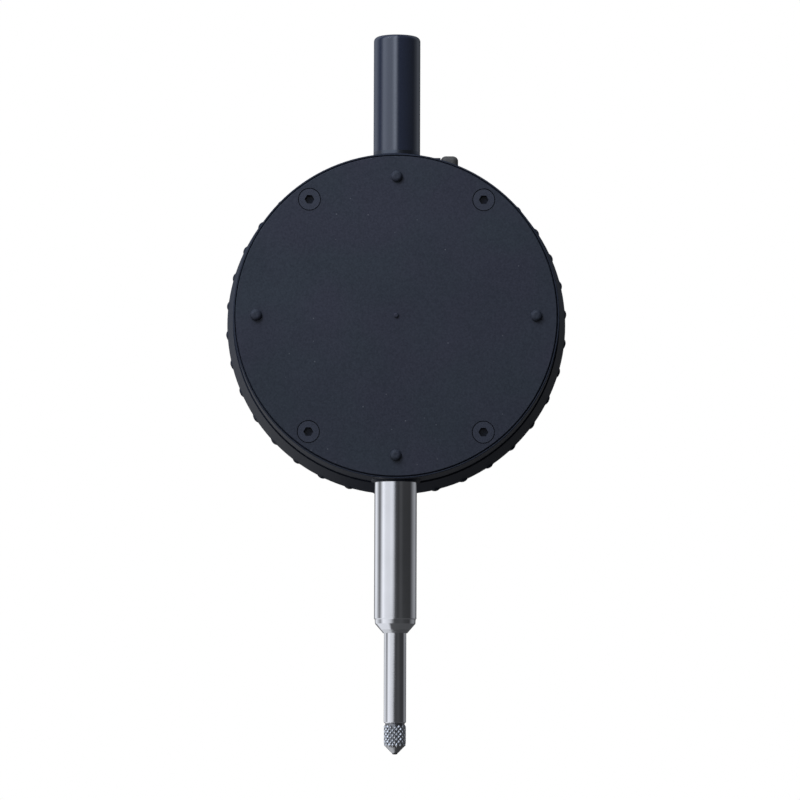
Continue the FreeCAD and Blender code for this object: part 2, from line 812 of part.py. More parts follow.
def build_cap():
    """Upper guide bush, the washer on the case and the long cap screwed over the bush."""
    bush = Piece("upper_bush")
    nose_top = LAND_UP + d.nose_height
    bush.turn("z", [
        (RUNNING_R, UPPER_SEAT),
        (d.bush_d / 2, UPPER_SEAT),
        (d.bush_d / 2, LAND_UP),
        (d.nose_d / 2, LAND_UP),
        (d.nose_d / 2, nose_top),
        (RUNNING_R, nose_top),
    ])
    washer = Piece("cap_washer")
    cap_r = d.cap_d / 2
    thread_r = d.nose_d / 2 + d.screw_fit
    washer.turn("z", [
        (thread_r, LAND_UP),
        (cap_r, LAND_UP),
        (cap_r, CAP_LOW),
        (thread_r, CAP_LOW),
    ])
    cap = Piece("dust_cap")
    cap.turn("z", [
        (thread_r, CAP_LOW),
        (cap_r, CAP_LOW),
        (cap_r, CAP_TOP),
        (0, CAP_TOP),
        (0, CAP_ROOF),
        (d.cap_bore_d / 2, CAP_ROOF),
        (d.cap_bore_d / 2, nose_top + d.cap_thread_run),
        (thread_r, nose_top + d.cap_thread_run),
    ])
    cap.round_edges(d.cap_round, lambda edge: circle_at(edge, cap_r, "z", CAP_TOP))


def build_spindle():
    """Spindle, the contact point screwed into it and the hard tip."""
    spindle = Piece("spindle")
    joint = -d.spindle_reach
    hole_r = d.stud_d / 2 + d.stud_fit
    hole_top = joint + d.stud_length + d.stud_end_gap
    edge = d.spindle_edge
    spindle.turn("z", [
        (0, SPINDLE_TOP),
        (SPINDLE_R - edge, SPINDLE_TOP),
        (SPINDLE_R, SPINDLE_TOP - edge),
        (SPINDLE_R, joint + edge),
        (SPINDLE_R - edge, joint),
        (hole_r, joint),
        (hole_r, hole_top),
        (0, hole_top),
    ])
    point = Piece("contact_point")
    neck_r = SPINDLE_R - d.point_neck_depth
    neck_low = joint - d.point_neck
    cone_high = neck_low - d.point_body
    cone_low = cone_high - d.point_cone
    tip_r = d.tip_d / 2
    tip_top = cone_low - d.tip_proud + d.tip_length
    point.turn("z", [
        (0, joint + d.stud_length),
        (d.stud_d / 2, joint + d.stud_length),
        (d.stud_d / 2, joint),
        (neck_r, joint),
        (neck_r, neck_low),
        (SPINDLE_R, neck_low),
        (SPINDLE_R, cone_high),
        (tip_r + d.point_end_wall, cone_low),
        (tip_r + d.stud_fit, cone_low),
        (tip_r + d.stud_fit, tip_top),
        (0, tip_top),
    ])
    tip = Piece("contact_tip")
    tip_low = cone_low - d.tip_proud
    tip.turn("z", [(0, tip_low), (tip_r, tip_low), (tip_r, tip_top), (0, tip_top)])
    tip.round_edges(d.tip_proud, lambda edge: circle_at(edge, tip_r, "z", tip_low))


def build_carrier():
    """Clamp block on the spindle with its grub screw, guide pin and scale, and the buffer."""
    buffer = Piece("stop_buffer")
    buffer_top = STEM_TOP + d.buffer_thick
    buffer.add("z", STEM_TOP, buffer_top, [
        Circle(0, 0, d.carrier_half_width - d.buffer_step),
        Circle(0, 0, d.stem_bore_d / 2),
    ])
    carrier = Piece("spindle_carrier")
    half = d.carrier_half_width
    deep = d.carrier_half_depth
    arm = d.arm_half_depth
    carrier.add("z", CARRIER_LOW, CARRIER_HIGH, [
        Outline([
            (-half, -deep),
            (half, -deep),
            (half, deep),
            (-half, deep),
            (-half, arm),
            (-ARM_REACH, arm),
            (-ARM_REACH, -arm),
            (-half, -arm),
        ]),
        Circle(0, 0, SPINDLE_R + d.press_gap),
    ])
    hole = [Circle(0, CARRIER_MIDDLE, SMALL_HOLE_R)]
    carrier.cut("y", 0, deep, hole)
    pin_root = ARM_REACH - d.guide_pin_depth
    pin_hole = [Circle(0, CARRIER_MIDDLE, GUIDE_R + d.guide_pin_fit)]
    carrier.cut("x", -ARM_REACH, -pin_root, pin_hole)
    screw = Piece("carrier_screw")
    grub = [Circle(0, CARRIER_MIDDLE, SMALL_R)]
    screw.add("y", SPINDLE_R + d.grub_gap, deep - d.grub_recess, grub)
    pin = Piece("guide_pin")
    pin_end = -pin_root - d.guide_pin_gap
    pin.add("x", -PIN_REACH, pin_end, [Circle(0, CARRIER_MIDDLE, GUIDE_R)])
    scale = Piece("scale_strip")
    wide = d.scale_half_width
    scale.add("y", SCALE_Y, -deep, [
        rectangle(-wide, CARRIER_LOW, wide, CARRIER_LOW + d.scale_length),
    ])


def build_guide():
    """Slotted rail that keeps the spindle from turning, and its two screws."""
    rail = Piece("guide_rail")
    foot_x = RAIL_BACK_X - d.foot_width
    foot_y = BULKHEAD_Y + d.foot_thick
    rail_y = GUIDE_R + d.rail_cover
    rail.add("z", RAIL_LOW, RAIL_HIGH, [
        Outline([
            (foot_x, BULKHEAD_Y),
            (RAIL_FACE_X, BULKHEAD_Y),
            (RAIL_FACE_X, rail_y),
            (RAIL_BACK_X, rail_y),
            (RAIL_BACK_X, foot_y),
            (foot_x, foot_y),
        ]),
    ])
    slot = GUIDE_R + d.guide_fit
    slot_low = CARRIER_MIDDLE - GUIDE_R - d.slot_run
    slot_high = CARRIER_MIDDLE + d.travel + GUIDE_R + d.slot_run
    slot_back = -PIN_REACH - d.slot_end_gap
    rail.cut("x", slot_back, RAIL_FACE_X, [
        rectangle(-slot, slot_low, slot, slot_high),
    ])
    rail.cut("y", BULKHEAD_Y, foot_y, circles(RAIL_SCREWS, SMALL_HOLE_R))
    build_small_screws("guide_rail_screws", RAIL_SCREWS, foot_y)


def build_small_screws(label, places, seat_y):
    """Small round head screws driven from the back into the bulkhead."""
    screws = Piece(label)
    screws.add("y", seat_y, seat_y + d.small_head_thick, circles(places, d.small_head_d / 2))
    screws.add("y", BULKHEAD_FRONT_Y + d.hole_end_gap, seat_y, circles(places, SMALL_R))


def build_reader():
    """Board that reads the scale, its chip and its four screws."""
    board = Piece("reader_board")
    board.add("y", BULKHEAD_Y, READER_Y, [
        rectangle(READER_LEFT_X, d.reader_low, d.reader_right_x, d.reader_high),
    ])
    board.cut("y", BULKHEAD_Y, READER_Y, circles(READER_SCREWS, SMALL_HOLE_R))
    build_small_screws("reader_board_screws", READER_SCREWS, READER_Y)
    chip = Piece("reader_chip")
    left = d.carrier_half_width + d.chip_gap
    half = d.chip_side / 2
    chip.add("y", READER_Y, READER_Y + d.chip_thick, [
        rectangle(left, -half, left + d.chip_side, half),
    ])


def build_spring():
    """Coil spring between the carrier and the upper bush, of six-sided wire to keep it light."""
    spring = Piece("return_spring")
    wire_r = d.spring_wire_d / 2
    low = CARRIER_HIGH + wire_r + d.spring_seat_gap
    high = UPPER_SEAT - wire_r - d.spring_seat_gap
    middle = SPINDLE_R + d.spring_gap + wire_r
    wire = spring.sketch("y", 0, [hexagon(middle, low, d.spring_wire_d * cosine(30))])
    coil = spring.body.newObject("PartDesign::AdditiveHelix", "coil")
    coil.Profile = wire
    coil.ReferenceAxis = (wire, ["V_Axis"])
    coil.Mode = "height-turns-angle"
    bind(coil, "Height", high - low)
    bind(coil, "Turns", d.spring_turns)
    doc.recompute()


def build_port():
    """Contact insert of the data port and the soft plug that closes it."""
    wide = d.plug_half_width
    insert = Piece("port_socket", across=PORT_X)
    insert.add("z", SOCKET_LOW, PLUG_SEAT - d.socket_gap, [
        rectangle(-wide, PLUG_FRONT_Y, wide, PLUG_BACK_Y),
    ])
    plug = Piece("port_plug", across=PORT_X)
    plug.add("z", PLUG_SEAT, PLUG_TOP, [
        rectangle(-wide, PLUG_FRONT_Y, wide, PLUG_BACK_Y),
    ])
    plug.round_edges(d.plug_corner, upright_corner)
    plug.round_edges(d.plug_round, lambda edge: at_level(edge, PLUG_TOP))


def build_bezel():
    """Ridged grip ring that turns on the case's spigot, with its inner stop."""
    bezel = Piece("bezel")
    groove_r = RING_OUTER_R + d.ring_gap
    groove_back = RING_BACK_Y + d.ring_gap
    groove_front = RING_BACK_Y - d.ring_thick - d.ring_gap
    front_edge = d.bezel_edge
    bezel.turn("y", [
        (BEZEL_BORE_R, BEZEL_REAR_Y),
        (BEZEL_REAR_R, BEZEL_REAR_Y),
        (BEZEL_R, CREST_BACK_Y),
        (BEZEL_R, CREST_FRONT_Y),
        (BEZEL_FRONT_R + front_edge, BEZEL_FRONT_Y + front_edge),
        (BEZEL_FRONT_R, BEZEL_FRONT_Y),
        (FACE_RIM_R, BEZEL_FRONT_Y),
        (FACE_RIM_R, FACE_BACK_Y),
        (BEZEL_BORE_R, FACE_BACK_Y),
        (BEZEL_BORE_R, groove_front),
        (groove_r, groove_front),
        (groove_r, groove_back),
        (BEZEL_BORE_R, groove_back),
    ])
    stop_back = SPIGOT_END_Y - d.stop_gap
    stop_front = stop_back - d.stop_height
    stop = bezel.body.newObject("PartDesign::Revolution", "stop")
    profile = bezel.sketch("x", 0, [
        rectangle(stop_front, SPIGOT_R - d.stop_wall, stop_back, BEZEL_BORE_R + d.stop_root),
    ])
    stop.Profile = profile
    stop.ReferenceAxis = (profile, ["H_Axis"])
    stop.Midplane = True
    bind(stop, "Angle", 2 * (180 - d.head_turn - d.stop_margin))
    doc.recompute()
    ridge_axis_r = CREST_R - d.ridge_r
    end_r = d.ridge_r - d.ridge_end_taper
    front = CREST_FRONT_Y - d.ridge_run_out
    back = CREST_BACK_Y + d.ridge_run_out
    ridge = bezel.turn(
        "y",
        [
            (0, front),
            (end_r, front),
            (d.ridge_r, CREST_FRONT_Y),
            (d.ridge_r, CREST_BACK_Y),
            (end_r, back),
            (0, back),
        ],
        across=ridge_axis_r * cosine(d.ridge_start),
        height=ridge_axis_r * sine(d.ridge_start),
    )
    bezel.repeat(ridge, "Y_Axis", d.ridge_count)


def build_face_plate():
    """Front panel with the window's recess, button holes, lid hole and rear posts."""
    plate = Piece("face_plate")
    rim_r = FACE_RIM_R - d.face_fit
    plate.turn("y", [
        (0, FACE_BACK_Y),
        (rim_r, FACE_BACK_Y),
        (rim_r, FACE_Y),
        (0, FACE_Y),
    ])
    recess_y = FACE_Y + d.window_thick
    wide = WINDOW_HALF_WIDTH
    plate.cut("y", FACE_Y, recess_y, [rectangle(-wide, WINDOW_LOW, wide, WINDOW_HIGH)])
    view = d.view_margin_up
    wide = wide - d.view_margin_x
    plate.cut("y", recess_y, FACE_BACK_Y, [
        rectangle(-wide, WINDOW_LOW + view, wide, WINDOW_HIGH - view),
    ])
    places = [(across, BUTTON_UP) for across in BUTTONS.values()]
    plate.cut("y", FACE_Y, FACE_BACK_Y, circles(places, BUTTON_R + d.button_fit))
    plate.cut("y", FACE_Y, FACE_BACK_Y, [Circle(0, BATTERY_UP, LID_R + d.lid_fit)])
    across = LUG_RING_R * cosine(d.lid_turn)
    rise = LUG_RING_R * sine(d.lid_turn)
    notches = [(across, BATTERY_UP + rise), (-across, BATTERY_UP - rise)]
    plate.cut("y", FACE_Y, FACE_BACK_Y, circles(notches, d.lug_d / 2 + d.lug_side_gap))
    plate.add("y", FACE_BACK_Y, BOARD_FRONT_Y, circles(POSTS, d.post_d / 2))
    hole_end = BOARD_FRONT_Y - d.post_screw_length + d.board_thick
    plate.cut("y", hole_end, BOARD_FRONT_Y, circles(POSTS, SMALL_HOLE_R))


def build_display():
    """Window, display glass, its frame and the two soft connector strips."""
    window = Piece("lcd_window")
    wide = WINDOW_HALF_WIDTH - d.window_fit
    low = WINDOW_LOW + d.window_fit
    high = WINDOW_HIGH - d.window_fit
    window.add("y", FACE_Y, FACE_Y + d.window_thick, [rectangle(-wide, low, wide, high)])
    frame = Piece("lcd_frame")
    inner = FRAME_HALF_WIDTH - d.frame_wall
    inner_low = FRAME_LOW + d.frame_wall
    inner_high = FRAME_HIGH - d.frame_wall
    frame.add("y", FACE_BACK_Y, BOARD_FRONT_Y, [
        rectangle(-FRAME_HALF_WIDTH, FRAME_LOW, FRAME_HALF_WIDTH, FRAME_HIGH),
        rectangle(-inner, inner_low, inner, inner_high),
    ])
    panel = Piece("lcd_panel")
    wide = inner - d.lcd_fit
    low = inner_low + d.lcd_fit
    high = inner_high - d.lcd_fit
    panel_back = FACE_BACK_Y + d.lcd_thick
    panel.add("y", FACE_BACK_Y, panel_back, [rectangle(-wide, low, wide, high)])
    strips = Piece("connector_strips")
    half = wide - d.strip_end_gap
    strips.add("y", panel_back, BOARD_FRONT_Y, [
        rectangle(-half, low, half, low + d.strip_height),
        rectangle(-half, high - d.strip_height, half, high),
    ])


def build_main_board():
    """Round board with its screws, chip and the three switches."""
    board = Piece("main_board")
    board.add("y", BOARD_FRONT_Y, BOARD_BACK_Y, [Circle(0, 0, BOARD_R)])
    board.cut("y", BOARD_FRONT_Y, BOARD_BACK_Y, circles(POSTS, SMALL_HOLE_R))
    screws = Piece("main_board_screws")
    head_back = BOARD_BACK_Y + d.small_head_thick
    screws.add("y", BOARD_BACK_Y, head_back, circles(POSTS, d.small_head_d / 2))
    end = BOARD_BACK_Y - d.post_screw_length + d.hole_end_gap
    screws.add("y", end, BOARD_BACK_Y, circles(POSTS, SMALL_R))
    chip = Piece("display_chip")
    half = d.display_chip_half_width
    chip_low = WINDOW_LOW + d.display_chip_rise
    chip.add("y", BOARD_BACK_Y, BOARD_BACK_Y + d.display_chip_thick, [
        rectangle(-half, chip_low, half, chip_low + d.display_chip_height),
    ])
    switches = Piece("switches")
    side = d.switch_side / 2
    switch_front = BOARD_FRONT_Y - d.switch_thick
    switches.add("y", switch_front, BOARD_FRONT_Y, [
        rectangle(across - side, BUTTON_UP - side, across + side, BUTTON_UP + side)
        for across in BUTTONS.values()
    ])
    places = [(across, BUTTON_UP) for across in BUTTONS.values()]
    switches.add("y", switch_front - d.plunger_proud, switch_front, circles(places, d.plunger_d / 2))


def build_button(label, across):
    """One push button: a round cap, a flange behind the plate and a stem to its switch."""
    button = Piece(label, across=across, up=BUTTON_UP)
    front = FACE_Y - d.button_proud
    flange_front = FACE_BACK_Y + d.button_gap
    flange_back = flange_front + d.button_flange_thick
    plunger_y = BOARD_FRONT_Y - d.switch_thick - d.plunger_proud
    stem_end = plunger_y - d.button_travel - d.button_gap
    button.turn("y", [
        (0, front),
        (BUTTON_R - d.button_edge, front),
        (BUTTON_R, front + d.button_edge),
        (BUTTON_R, flange_front),
        (FLANGE_R, flange_front),
        (FLANGE_R, flange_back),
        (d.button_stem_d / 2, flange_back),
        (d.button_stem_d / 2, stem_end),
        (0, stem_end),
    ])


def build_battery():
    """Coin cell, its contact and holder ring, and the bayonet lid with its seal."""
    centre = BATTERY_UP
    battery_r = d.battery_d / 2
    contact = Piece("battery_contact", up=centre)
    wide = d.contact_half_width
    long = d.contact_half_length
    contact.add("y", BATTERY_BACK_Y, BOARD_FRONT_Y, [rectangle(-wide, -long, wide, long)])
    battery = Piece("battery", up=centre)
    edge = d.battery_edge
    battery.turn("y", [
        (0, BATTERY_BACK_Y),
        (battery_r - edge, BATTERY_BACK_Y),
        (battery_r, BATTERY_BACK_Y - edge),
        (battery_r, BATTERY_FRONT_Y + edge),
        (battery_r - edge, BATTERY_FRONT_Y),
        (0, BATTERY_FRONT_Y),
    ])
    holder = Piece("battery_holder", up=centre)
    inner_r = battery_r + d.holder_gap
    outer_r = inner_r + d.holder_wall
    holder_front = BATTERY_FRONT_Y + 2 * d.lug_gap
    holder.turn("y", [
        (inner_r, holder_front),
        (outer_r, holder_front),
        (outer_r, BOARD_FRONT_Y),
        (inner_r, BOARD_FRONT_Y),
    ])
    lid = Piece("battery_lid", up=centre)
    seal_front = FACE_Y + d.lid_seal_y
    seal_back = seal_front + d.lid_seal_width
    seal_r = LID_R - d.lid_seal_depth
    tail_r = LID_R - d.lid_step
    lid.turn("y", [
        (0, FACE_Y),
        (LID_R - d.lid_edge, FACE_Y),
        (LID_R, FACE_Y + d.lid_edge),
        (LID_R, seal_front),
        (seal_r, seal_front),
        (seal_r, seal_back),
        (LID_R, seal_back),
        (LID_R, FACE_BACK_Y),
        (tail_r, FACE_BACK_Y),
        (tail_r, LID_TAIL_Y),
        (0, LID_TAIL_Y),
    ])
    lugs = [(-LUG_RING_R, 0), (LUG_RING_R, 0)]
    lid.add("y", FACE_BACK_Y + d.lug_gap, LID_TAIL_Y, circles(lugs, d.lug_d / 2))
    long = d.coin_half_length
    wide = d.coin_half_width
    lid.cut("y", FACE_Y, FACE_Y + d.coin_depth, [rectangle(-long, -wide, long, wide)])
    seal = Piece("lid_seal", up=centre)
    play = d.seal_play
    seal.turn("y", [
        (seal_r + play, seal_front + play),
        (LID_R + d.lid_seal_proud, seal_front + play),
        (LID_R + d.lid_seal_proud, seal_back - play),
        (seal_r + play, seal_back - play),
    ])


def build_all():
    """Every sub-part, from the case outwards."""
    build_case()
    build_back_cover()
    build_back_cover_screws()
    build_seals()
    build_stem()
    build_cap()
    build_spindle()
    build_carrier()
    build_guide()
    build_reader()
    build_spring()
    build_port()
    build_bezel()
    build_face_plate()
    build_display()
    build_main_board()
    for label, across in BUTTONS.items():
        build_button(label, across)
    build_battery()
    doc.recompute()


def check_all():
    """Stop if any object failed or any sub-part has no sound shape."""
    for obj in doc.Objects:
        if "Invalid" in obj.State or "Error" in obj.State:
            raise RuntimeError(f"{obj.Label} failed: {obj.State}")
    for piece in sub_parts():
        shape = piece.Shape
        if shape.isNull() or not shape.isValid() or not shape.Solids:
            raise RuntimeError(f"{piece.Label} has no sound shape")


def sub_parts():
    """The bodies, one for each sub-part."""
    return [obj for obj in doc.Objects if obj.TypeId == "PartDesign::Body"]


def write_all():
    """Write each sub-part to its own file."""
    os.makedirs("parts", exist_ok=True)
    for piece in sub_parts():
        piece.Shape.exportStep(f"parts/{piece.Label}.step")
        print(f"{piece.Label}: {len(piece.Shape.Solids)} solid, {piece.Shape.Volume:.1f} mm3")


build_all()
check_all()
write_all()
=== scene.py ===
import json
import math
import bpy
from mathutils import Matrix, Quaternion, Vector


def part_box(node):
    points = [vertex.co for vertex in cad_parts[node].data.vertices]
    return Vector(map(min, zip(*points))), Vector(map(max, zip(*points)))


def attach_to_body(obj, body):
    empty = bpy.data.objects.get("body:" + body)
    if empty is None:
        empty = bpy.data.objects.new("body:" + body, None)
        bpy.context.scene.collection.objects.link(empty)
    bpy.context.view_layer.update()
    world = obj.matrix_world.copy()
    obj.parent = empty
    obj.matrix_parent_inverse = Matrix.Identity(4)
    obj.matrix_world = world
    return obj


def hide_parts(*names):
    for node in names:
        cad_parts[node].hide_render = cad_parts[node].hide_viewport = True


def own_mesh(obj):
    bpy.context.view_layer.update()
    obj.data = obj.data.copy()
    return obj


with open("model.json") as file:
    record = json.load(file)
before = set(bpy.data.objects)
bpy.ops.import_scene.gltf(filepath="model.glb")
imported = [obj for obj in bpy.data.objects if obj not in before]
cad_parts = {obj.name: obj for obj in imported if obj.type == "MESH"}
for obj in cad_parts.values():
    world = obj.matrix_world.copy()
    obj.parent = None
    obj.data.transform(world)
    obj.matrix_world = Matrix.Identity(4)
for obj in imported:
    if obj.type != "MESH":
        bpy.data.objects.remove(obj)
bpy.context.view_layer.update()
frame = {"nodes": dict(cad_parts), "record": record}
MM = 0.001

# Moulded surfaces: how far grain and patches change the gloss, and the sizes of what varies
GRAIN_GLOSS = 0.18
PATCH_GLOSS = 0.10
PATCH_SIZE = 18 * MM
HANDLED_SIZE = 12 * MM
DUST_APART = 3.0 * MM
DUST_TONE = (0.14, 0.15, 0.17)

# Blackened screws and the knurled point: where painted shade darkens the screw sockets, the neck,
# the gaps between the diamonds and the cone
SOCKET_SHADE_DEEP = 0.5 * MM
SHADE_DEEP = 0.24 * MM
SHADE_TONE = (0.24, 0.24, 0.245)
CONE_SPAN = 2.0 * MM


# Shader maths

class Wire:
    """An output of a node, so that sums on it add Math nodes."""

    def __init__(self, recipe, socket):
        self.recipe = recipe
        self.socket = socket

    def sum(self, operation, first, second):
        return self.recipe.node("ShaderNodeMath", {"operation": operation}, {0: first, 1: second})

    def __add__(self, other):
        return self.sum("ADD", self, other)

    def __sub__(self, other):
        return self.sum("SUBTRACT", self, other)

    def __mul__(self, other):
        return self.sum("MULTIPLY", self, other)

    def __truediv__(self, other):
        return self.sum("DIVIDE", self, other)

    def __radd__(self, other):
        return self.sum("ADD", other, self)

    def __rsub__(self, other):
        return self.sum("SUBTRACT", other, self)

    def __rmul__(self, other):
        return self.sum("MULTIPLY", other, self)


class Recipe:
    """A node tree with one method that adds any node."""

    def __init__(self, tree):
        self.tree = tree

    def node(self, kind, settings=None, sockets=None, output=0):
        """Add a node: its settings first, then the values or wires of its sockets."""
        node = self.tree.nodes.new(kind)
        for name, value in (settings or {}).items():
            if name == "stops":
                self.set_stops(node.color_ramp, value)
            else:
                setattr(node, name, value)
        for name, value in (sockets or {}).items():
            self.plug(node.inputs[name], value)
        return Wire(self, node.outputs[output]) if node.outputs else node

    def set_stops(self, ramp, stops):
        """Give a ramp its stops, each a place and a grey or a colour."""
        while len(ramp.elements) < len(stops):
            ramp.elements.new(1.0)
        for element, (place, colour) in zip(ramp.elements, stops):
            element.position = place
            grey = (colour, colour, colour)
            element.color = (*(grey if isinstance(colour, float) else colour), 1.0)

    def plug(self, socket, value):
        if isinstance(value, Wire):
            self.tree.links.new(value.socket, socket)
        elif isinstance(value, tuple) and len(value) == 3 and socket.type == "RGBA":
            socket.default_value = (*value, 1.0)
        else:
            socket.default_value = value

    def blend(self, factor, first, second):
        """Mix two colours."""
        return self.node(
            "ShaderNodeMix",
            {"data_type": "RGBA"},
            {0: factor, 6: first, 7: second},
            output=2,
        )

    def tint(self, colour, tint):
        """Multiply a colour by another."""
        return self.node(
            "ShaderNodeMix",
            {"data_type": "RGBA", "blend_type": "MULTIPLY"},
            {0: 1.0, 6: colour, 7: tint},
            output=2,
        )

    def ramp(self, factor, stops):
        return self.node("ShaderNodeValToRGB", {"stops": stops}, {0: factor})


class Finish(Recipe):
    """A material: its shader's own numbers, and nodes for what changes over the surface."""

    def __init__(self, name, **numbers):
        self.material = bpy.data.materials.new(name)
        self.material.use_nodes = True
        super().__init__(self.material.node_tree)
        self.shader = self.tree.nodes["Principled BSDF"]
        for label, value in numbers.items():
            self.plug(self.shader.inputs[label.replace("_", " ")], value)

    def set(self, label, value):
        self.plug(self.shader.inputs[label], value)

    def place(self, stretch=(1.0, 1.0, 1.0), shift=(0.0, 0.0, 0.0), turn=(0.0, 0.0, 0.0)):
        """The object's own coordinates, stretched, shifted and turned."""
        coordinates = self.node("ShaderNodeTexCoord", output=3)
        return self.node(
            "ShaderNodeMapping",
            {},
            {"Vector": coordinates, "Scale": stretch, "Location": shift, "Rotation": turn},
        )

    def parts(self):
        """The object's own x, y and z in metres."""
        split = self.node("ShaderNodeSeparateXYZ", {}, {0: self.place()})
        return [Wire(self, part) for part in split.socket.node.outputs]

    def noise(self, grain, detail=2.0, roughness=0.5, where=None):
        """Noise of a grain size in metres."""
        return self.node("ShaderNodeTexNoise", {}, {
            "Vector": where or self.place(),
            "Scale": 1 / grain,
            "Detail": detail,
            "Roughness": roughness,
        })

    def bump(self, height, depth, strength=1.0):
        """Relief of a depth in metres."""
        relief = self.node("ShaderNodeBump", {}, {
            "Height": height,
            "Distance": depth,
            "Strength": strength,
        })
        self.set("Normal", relief)


def plastic(name, dark, light, rough, grain=0.35 * MM, relief=0.012 * MM, dust=0.0, **numbers):
    """Moulded plastic with a sandy grain and broad patches; dust also brings signs of handling."""
    finish = Finish(name, **numbers)
    sand = finish.noise(grain, 3.0, 0.65)
    patches = finish.noise(PATCH_SIZE, 2.0)
    tone = finish.ramp(sand * 0.75 + patches * 0.25, [(0.34, dark), (0.66, light)])
    if dust:
        cells = finish.node("ShaderNodeTexVoronoi", {}, {
            "Vector": finish.place(),
            "Scale": 1 / DUST_APART,
        })
        speck = finish.ramp(cells, [(0.02, 1.0), (0.05, 0.0)])
        handled = finish.noise(HANDLED_SIZE, 1.0, 0.5, finish.place(shift=(0.02, 0.0, 0.01)))
        cast = finish.ramp(handled, [(0.36, (1.06, 0.99, 1.02)), (0.64, (0.95, 1.03, 0.97))])
        tone = finish.tint(tone, cast)
        tone = finish.blend(speck * dust, tone, DUST_TONE)
    finish.set("Base Color", tone)
    finish.set("Roughness", rough + (sand - 0.5) * GRAIN_GLOSS + (patches - 0.5) * PATCH_GLOSS)
    finish.bump(sand, relief)
    return finish.material


def metal(name, colour, rough, lines=0.0, axis="Z", smudge=0.05, **numbers):
    """Bare metal: fine turned or drawn lines round or along an axis, and faint smudges."""
    finish = Finish(name, Metallic=1.0, **numbers)
    smudges = finish.noise(6 * MM, 3.0, 0.6)
    stretch = {"Z": (0.04, 0.04, 1.0), "Y": (0.04, 1.0, 0.04), "X": (1.0, 0.04, 0.04)}[axis]
    drawn = finish.noise(0.12 * MM, 2.0, 0.5, finish.place(stretch))
    deep = tuple(0.86 * part for part in colour)
    finish.set("Base Color", finish.blend(smudges, deep, colour))
    finish.set("Roughness", rough + (smudges - 0.5) * smudge * 2 + (drawn - 0.5) * lines)
    finish.bump(drawn, 0.004 * MM * (lines / 0.1) if lines else 0.0005 * MM)
    return finish.material


def rubber(name, dark, light, rough=0.62, grain=0.25 * MM):
    """Moulded rubber: soft, slightly dusty."""
    finish = Finish(name, Specular_IOR_Level=0.35)
    dust = finish.noise(grain, 3.0, 0.6)
    patches = finish.noise(3 * MM, 2.0)
    finish.set("Base Color", finish.ramp(dust * 0.5 + patches * 0.5, [(0.35, dark), (0.65, light)]))
    finish.set("Roughness", rough + (patches - 0.5) * 0.2)
    finish.bump(dust, 0.008 * MM)
    return finish.material


def board(name, dark, light):
    """Lacquered circuit board in the XZ plane, its tracks faintly lighter."""
    finish = Finish(name, Roughness=0.32)
    tracks = finish.node("ShaderNodeTexBrick", {}, {
        "Vector": finish.place(turn=(math.pi / 2, 0.0, 0.0)),
        "Color1": light,
        "Color2": dark,
        "Mortar": dark,
        "Scale": 1 / (2.2 * MM),
        "Mortar Size": 0.012,
    })
    weave = finish.noise(0.4 * MM)
    finish.set("Base Color", finish.blend(weave * 0.4, tracks, dark))
    finish.bump(tracks, 0.02 * MM)
    return finish.material


def glass():
    """Clear window with faint wiping marks."""
    finish = Finish("window clear", IOR=1.45, Transmission_Weight=1.0)
    marks = finish.noise(4 * MM, 4.0, 0.6)
    finish.set("Base Color", finish.blend(marks, (0.96, 0.98, 0.97), (1.0, 1.0, 1.0)))
    finish.set("Roughness", 0.01 + marks * 0.03)
    finish.bump(marks, 0.0004 * MM)
    return finish.material


def display():
    """Reflective display glass, grey green with faint fine mottling."""
    finish = Finish("display grey", Roughness=0.35)
    fine = finish.noise(0.15 * MM)
    patches = finish.noise(9 * MM)
    finish.set("Base Color", finish.ramp(
        fine * 0.3 + patches * 0.7, [(0.3, (0.33, 0.36, 0.29)), (0.7, (0.40, 0.43, 0.35))]))
    finish.bump(fine, 0.002 * MM)
    return finish.material


def screw_black():
    """Blackened steel, darker with painted shade down in the socket."""
    finish = Finish("screw black", Specular_IOR_Level=0.2)
    sand = finish.noise(0.2 * MM, 3.0, 0.65)
    head = finish.ramp(sand, [(0.34, (0.021, 0.024, 0.034)), (0.66, (0.031, 0.035, 0.050))])
    head_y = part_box("back_cover_screws")[1][1]
    # Painted shade: the head's colour darkens to near black with depth down the hex socket.
    depth = (head_y - finish.parts()[1]) / SOCKET_SHADE_DEEP
    finish.set("Base Color", finish.blend(
        finish.ramp(depth, [(0.1, 0.0), (1.0, 1.0)]), head, (0.004, 0.005, 0.010)))
    finish.set("Roughness", 0.42 + (sand - 0.5) * GRAIN_GLOSS)
    finish.bump(sand, 0.008 * MM)
    return finish.material


def knurled_steel():
    """Turned steel, with painted shade down between the diamonds and in the neck, and somewhat less
    of it over the cone.
    """
    finish = Finish("point steel", Metallic=1.0)
    smudges = finish.noise(0.9 * MM, 3.0, 0.6)
    steel_tone = finish.blend(smudges, (0.62, 0.63, 0.64), (0.80, 0.81, 0.82))
    across, along, up = finish.parts()
    low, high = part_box("contact_point")
    crest = high[0]
    root = crest - SHADE_DEEP
    level = (across * across + along * along - root ** 2) / (crest ** 2 - root ** 2)
    # Painted shade: the steel darkens towards grey down between the diamonds and in the neck, and
    # partly over the cone.
    painted_shade = finish.ramp(level, [(0.10, 1.0), (0.75, 0.0)])
    on_barrel = finish.ramp((up - low[2]) / CONE_SPAN, [(0.60, 0.62), (0.80, 1.0)])
    finish.set("Base Color", finish.blend(painted_shade * on_barrel, steel_tone, SHADE_TONE))
    finish.set("Roughness", 0.24 + (smudges - 0.5) * 0.12)
    finish.bump(smudges, 0.002 * MM)
    return finish.material


